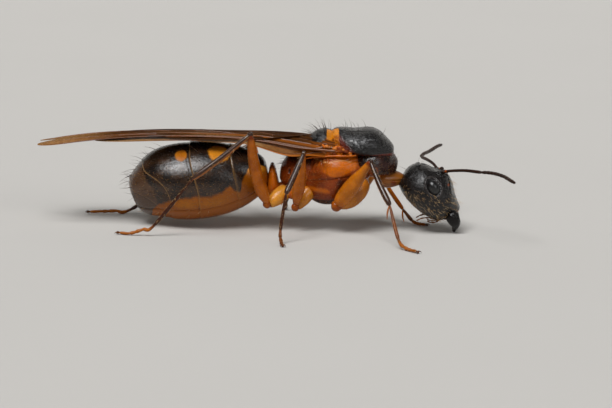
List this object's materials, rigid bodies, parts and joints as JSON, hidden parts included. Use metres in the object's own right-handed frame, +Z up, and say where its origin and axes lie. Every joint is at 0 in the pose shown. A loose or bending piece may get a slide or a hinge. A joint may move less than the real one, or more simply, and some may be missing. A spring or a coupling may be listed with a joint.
{
  "type": "winged queen carpenter ant model",
  "caption": "Life-size still model of a standing winged ant: amber and black plated body, folded wings, bent legs, lowered head with large eyes and elbowed feelers.",
  "frame": {"origin": "on the floor, under the middle of the whole ant's bounding box", "axes": "+X the way the ant faces, from wing tips to head; +Y the ant's left; +Z up"},
  "size_m": [0.0218, 0.0108, 0.0048],
  "materials": {
    "black_shell": "near-black shell, finely sculptured, satin to glossy, with pale pubescence",
    "amber_shell": "translucent amber shell, smooth and glossy",
    "rust_shell": "red-brown shell, glossy, darker above",
    "brown_shell": "dark brown shell of shins and feelers, satin",
    "foot_shell": "orange-brown foot joints, satin",
    "eye": "dark compound eye of many fine facets",
    "wing": "thin brown-tinted membrane with raised dark veins"
  },
  "bodies": {
    "root": {"coxa_front_left": "amber_shell", "coxa_front_right": "amber_shell", "coxa_hind_left": "amber_shell", "coxa_hind_right": "amber_shell", "coxa_mid_left": "amber_shell", "coxa_mid_right": "amber_shell", "eye_left": "eye", "eye_right": "eye", "femur_front_left": "amber_shell", "femur_front_right": "amber_shell", "femur_hind_left": "amber_shell", "femur_hind_right": "amber_shell", "femur_mid_left": "amber_shell", "femur_mid_right": "amber_shell", "forewing_left": "wing", "forewing_right": "wing", "funiculus_left": "brown_shell", "funiculus_right": "brown_shell", "gaster_1": "black_shell", "gaster_2": "black_shell", "gaster_3": "black_shell", "gaster_4": "black_shell", "gaster_5": "black_shell", "head_capsule": "black_shell", "hindwing_left": "wing", "hindwing_right": "wing", "mandible_left": "black_shell", "mandible_right": "black_shell", "mesopleuron": "amber_shell", "neck": "amber_shell", "palp_left": "amber_shell", "palp_right": "amber_shell", "petiole": "rust_shell", "pronotum": "rust_shell", "propodeum": "rust_shell", "scape_left": "brown_shell", "scape_right": "brown_shell", "scutellum": "black_shell", "scutum": "black_shell", "tarsus_front_left": "foot_shell", "tarsus_front_right": "foot_shell", "tarsus_hind_left": "foot_shell", "tarsus_hind_right": "foot_shell", "tarsus_mid_left": "foot_shell", "tarsus_mid_right": "foot_shell", "tegula_left": "rust_shell", "tegula_right": "rust_shell", "tibia_front_left": "brown_shell", "tibia_front_right": "brown_shell", "tibia_hind_left": "brown_shell", "tibia_hind_right": "brown_shell", "tibia_mid_left": "brown_shell", "tibia_mid_right": "brown_shell"}
  },
  "joints": []
}
